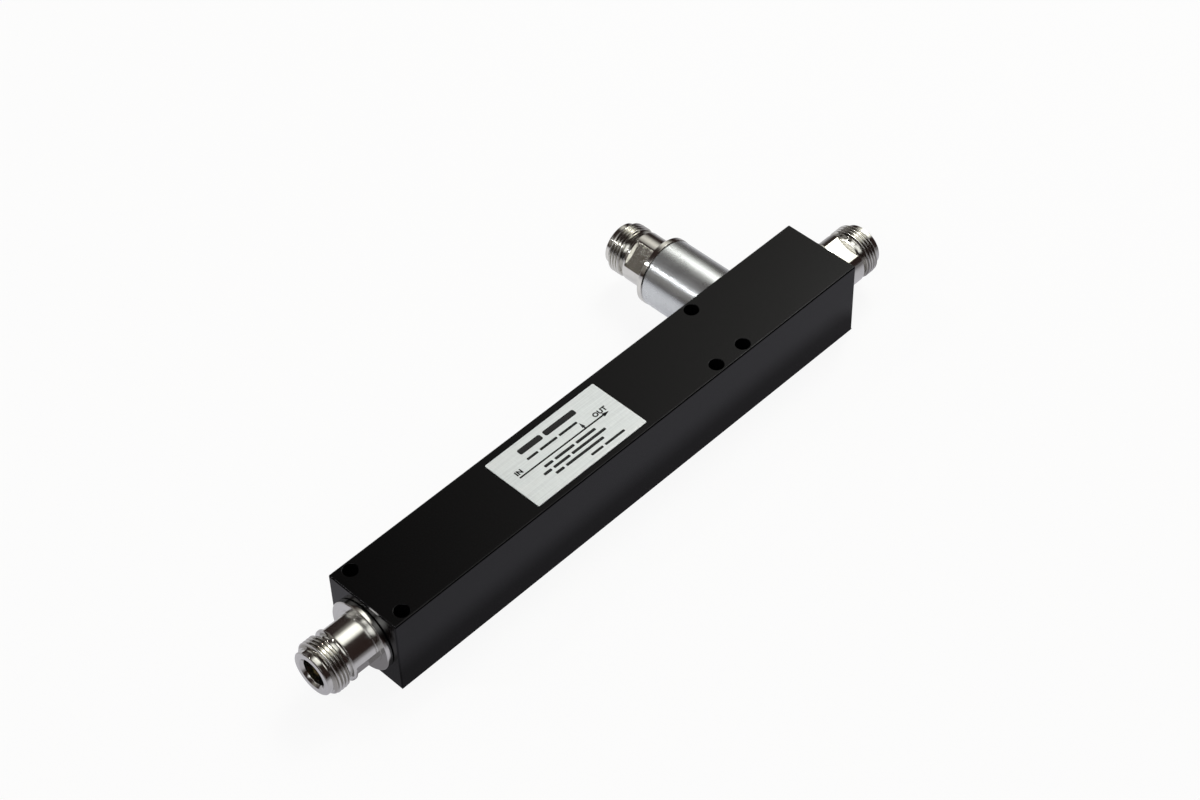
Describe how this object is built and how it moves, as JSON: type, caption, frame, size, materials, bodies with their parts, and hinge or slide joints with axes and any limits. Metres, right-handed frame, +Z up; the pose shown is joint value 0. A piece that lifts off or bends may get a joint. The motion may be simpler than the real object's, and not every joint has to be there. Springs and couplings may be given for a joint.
{
  "type": "coaxial tapper",
  "caption": "Square black bar with a coaxial jack on each end and a third jack on a turned side barrel, which takes a share of the signal off a through line.",
  "frame": {"origin": "centre of the bar's bottom face, on which the part rests", "axes": "+X along the bar from the input jack to the output jack, +Y towards the tap jack, +Z up, away from the face that it rests on, towards the label"},
  "size_m": [0.215, 0.0649, 0.0257],
  "materials": {
    "black_bar": "satin black anodised",
    "label_foil": "brushed foil",
    "bright_barrel": "fine turned, bright",
    "plated_shell": "bright nickel plate",
    "ring_brass": "turned",
    "contact": "gilt plate",
    "plated_rod": "silver plate",
    "insulator": "white, waxy",
    "seal_rubber": "black, smooth"
  },
  "bodies": {
    "root": {"housing": "black_bar", "label_plate": "label_foil", "tap_barrel": "bright_barrel", "tap_barrel_seal": "seal_rubber", "in_jack_shell": "plated_shell", "in_jack_insulator": "insulator", "in_insulator_ring": "ring_brass", "in_centre_contact": "contact", "in_flange_seal": "seal_rubber", "out_jack_shell": "plated_shell", "out_jack_insulator": "insulator", "out_insulator_ring": "ring_brass", "out_centre_contact": "contact", "out_flange_seal": "seal_rubber", "tap_jack_shell": "plated_shell", "tap_jack_insulator": "insulator", "tap_insulator_ring": "ring_brass", "tap_centre_contact": "contact", "tap_flange_seal": "seal_rubber", "line_rod": "plated_rod", "tap_rod": "plated_rod", "line_bead_in": "insulator", "line_bead_out": "insulator"}
  },
  "joints": []
}
